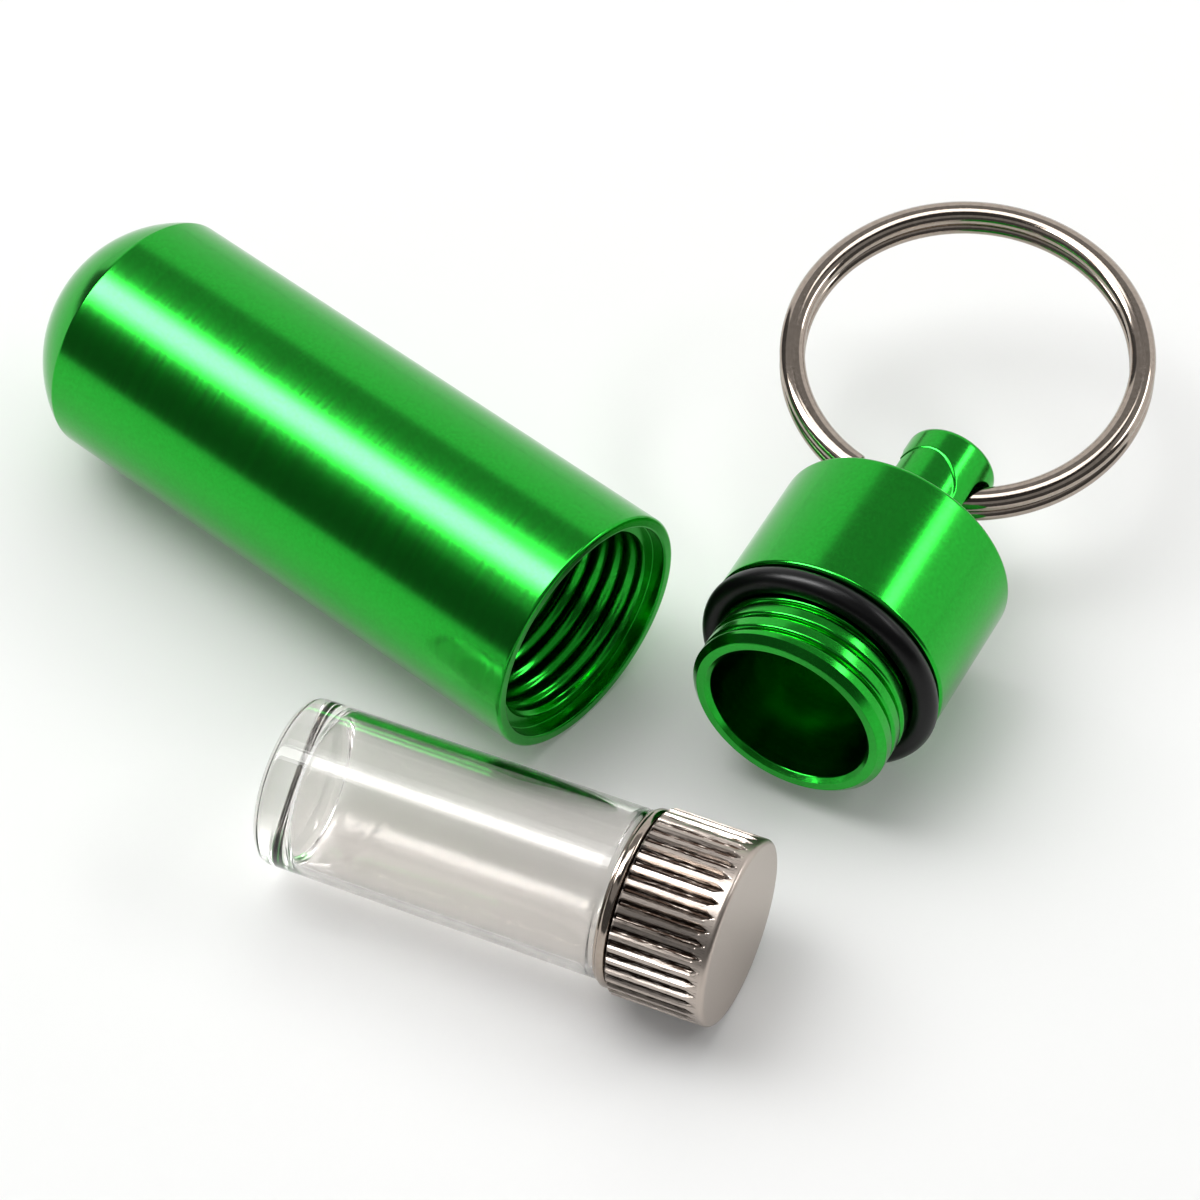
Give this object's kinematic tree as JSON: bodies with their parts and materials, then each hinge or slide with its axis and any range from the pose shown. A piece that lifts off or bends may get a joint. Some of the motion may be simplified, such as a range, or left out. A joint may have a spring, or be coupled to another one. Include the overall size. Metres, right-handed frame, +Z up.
{
  "type": "pill fob keychain",
  "caption": "Keychain pill fob laid open: a turned aluminium capsule, its screw cap with seal and key ring, and the glass vial with a knurled cap that it carries.",
  "frame": {"origin": "on the table plane, under the middle of the bounding box of the whole layout", "axes": "+Z up from the table, +X in plan along the vial from its base to its screw cap, and the capsule's mouth 16.8 degrees to the right of +X"},
  "size_m": [0.07, 0.0656, 0.017],
  "materials": {
    "green_aluminium": "turned and anodised green",
    "seal_rubber": "black satin",
    "bright_nickel": "bright nickel plate on steel",
    "satin_nickel": "satin nickel plate, dark in the knurls",
    "clear_glass": "clear, polished"
  },
  "bodies": {
    "capsule": {"capsule_body": "green_aluminium"},
    "cap": {"capsule_cap": "green_aluminium", "o_ring": "seal_rubber"},
    "ring": {"split_ring": "bright_nickel"},
    "vial": {"vial_tube": "clear_glass", "vial_collar": "bright_nickel"},
    "liner": {"vial_cap_liner": "seal_rubber"},
    "screw_cap": {"vial_cap": "satin_nickel"}
  },
  "joints": [
    {"name": "cap_lift", "type": "slide", "parent": "capsule", "child": "cap", "axis": [0, 0, 1], "range_m": [0, 0.05]},
    {"name": "ring_swing", "type": "hinge", "parent": "cap", "child": "ring", "pos_m": [0.02424, 0.00913, 0.00802], "axis": [0.9875, 0.1575, 0], "range_deg": [-126, 107]},
    {"name": "vial_lift", "type": "slide", "parent": "capsule", "child": "vial", "axis": [0, 0, 1], "range_m": [0, 0.05]},
    {"name": "liner_slide", "type": "slide", "parent": "vial", "child": "liner", "axis": [0.9997, 0, 0.0232], "range_m": [0, 0.0045]},
    {"name": "screw_cap_turn", "type": "hinge", "parent": "liner", "child": "screw_cap", "pos_m": [-0.00486, -0.02678, 0.00548], "axis": [0.9997, 0, 0.0232], "range_deg": [0, 1620]}
  ],
  "couplings": [
    {"joint": "screw_cap_turn", "follows": "liner_slide", "rad_per_m": 6283.2}
  ]
}
